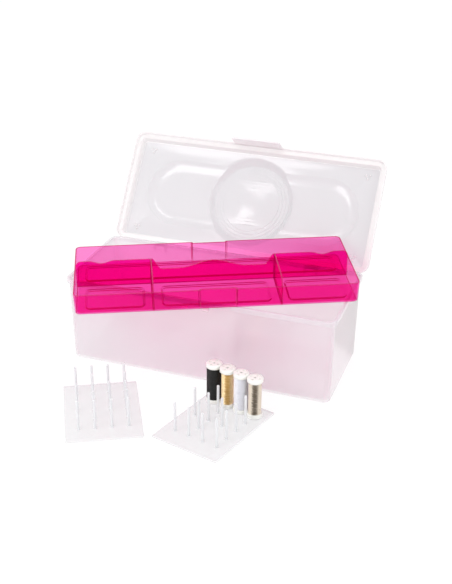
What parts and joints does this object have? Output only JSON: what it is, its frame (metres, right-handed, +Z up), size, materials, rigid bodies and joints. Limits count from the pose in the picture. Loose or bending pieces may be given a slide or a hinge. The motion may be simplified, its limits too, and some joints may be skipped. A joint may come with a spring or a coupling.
{
  "type": "thread spool storage box",
  "caption": "Frosted box with a hinged embossed lid and latch tab, a tinted lift-out tray with compartments laid across it, pin racks that hold thread spools, and capped spools.",
  "frame": {"origin": "centre of the box's underside, on the floor", "axes": "+Z up, +X to the right along the box's length, front (latch side) is -Y, hinge side is +Y"},
  "size_m": [0.3804, 0.4502, 0.2557],
  "materials": {
    "frosted": "frosted translucent polypropylene",
    "frosted_lid": "frosted translucent polypropylene",
    "tinted": "clear magenta tint, glossy",
    "milky": "milky, satin",
    "bobbin": "white, satin",
    "cap": "white, satin",
    "thread_black": "twisted thread",
    "thread_gold": "shiny twisted thread",
    "thread_white": "shiny twisted thread",
    "thread_silver": "metallic thread"
  },
  "bodies": {
    "box": {"box_body": "frosted"},
    "lid": {"lid": "frosted_lid"},
    "tray": {"tray": "tinted"},
    "left_rack": {"rack_left": "milky"},
    "right_rack": {"rack_right": "milky"},
    "black_spool": {"bobbin_black": "bobbin", "thread_black": "thread_black", "cap_black": "cap"},
    "gold_spool": {"bobbin_gold": "bobbin", "thread_gold": "thread_gold", "cap_gold": "cap"},
    "white_spool": {"bobbin_white": "bobbin", "thread_white": "thread_white", "cap_white": "cap"},
    "silver_spool": {"bobbin_silver": "bobbin", "thread_silver": "thread_silver", "cap_silver": "cap"}
  },
  "joints": [
    {"name": "lid_hinge", "type": "hinge", "parent": "box", "child": "lid", "pos_m": [0, 0.082, 0.113], "axis": [1, 0, 0], "range_deg": [0, 126.7]},
    {"name": "tray_off", "type": "slide", "parent": "box", "child": "tray", "axis": [0, -0.9848, 0.1736], "range_m": [0, 0.24]},
    {"name": "left_rack_lift", "type": "slide", "parent": "box", "child": "left_rack", "axis": [0, 0, 1], "range_m": [0, 0.05]},
    {"name": "right_rack_lift", "type": "slide", "parent": "box", "child": "right_rack", "axis": [0, 0, 1], "range_m": [0, 0.05]},
    {"name": "black_spool_lift", "type": "slide", "parent": "right_rack", "child": "black_spool", "axis": [0, 0, 1], "range_m": [0, 0.045]},
    {"name": "gold_spool_lift", "type": "slide", "parent": "right_rack", "child": "gold_spool", "axis": [0, 0, 1], "range_m": [0, 0.045]},
    {"name": "white_spool_lift", "type": "slide", "parent": "right_rack", "child": "white_spool", "axis": [0, 0, 1], "range_m": [0, 0.045]},
    {"name": "silver_spool_lift", "type": "slide", "parent": "right_rack", "child": "silver_spool", "axis": [0, 0, 1], "range_m": [0, 0.045]}
  ],
  "couplings": [
    {"joint": "tray_off", "follows": "lid_hinge", "m_per_rad": 0.1085}
  ]
}
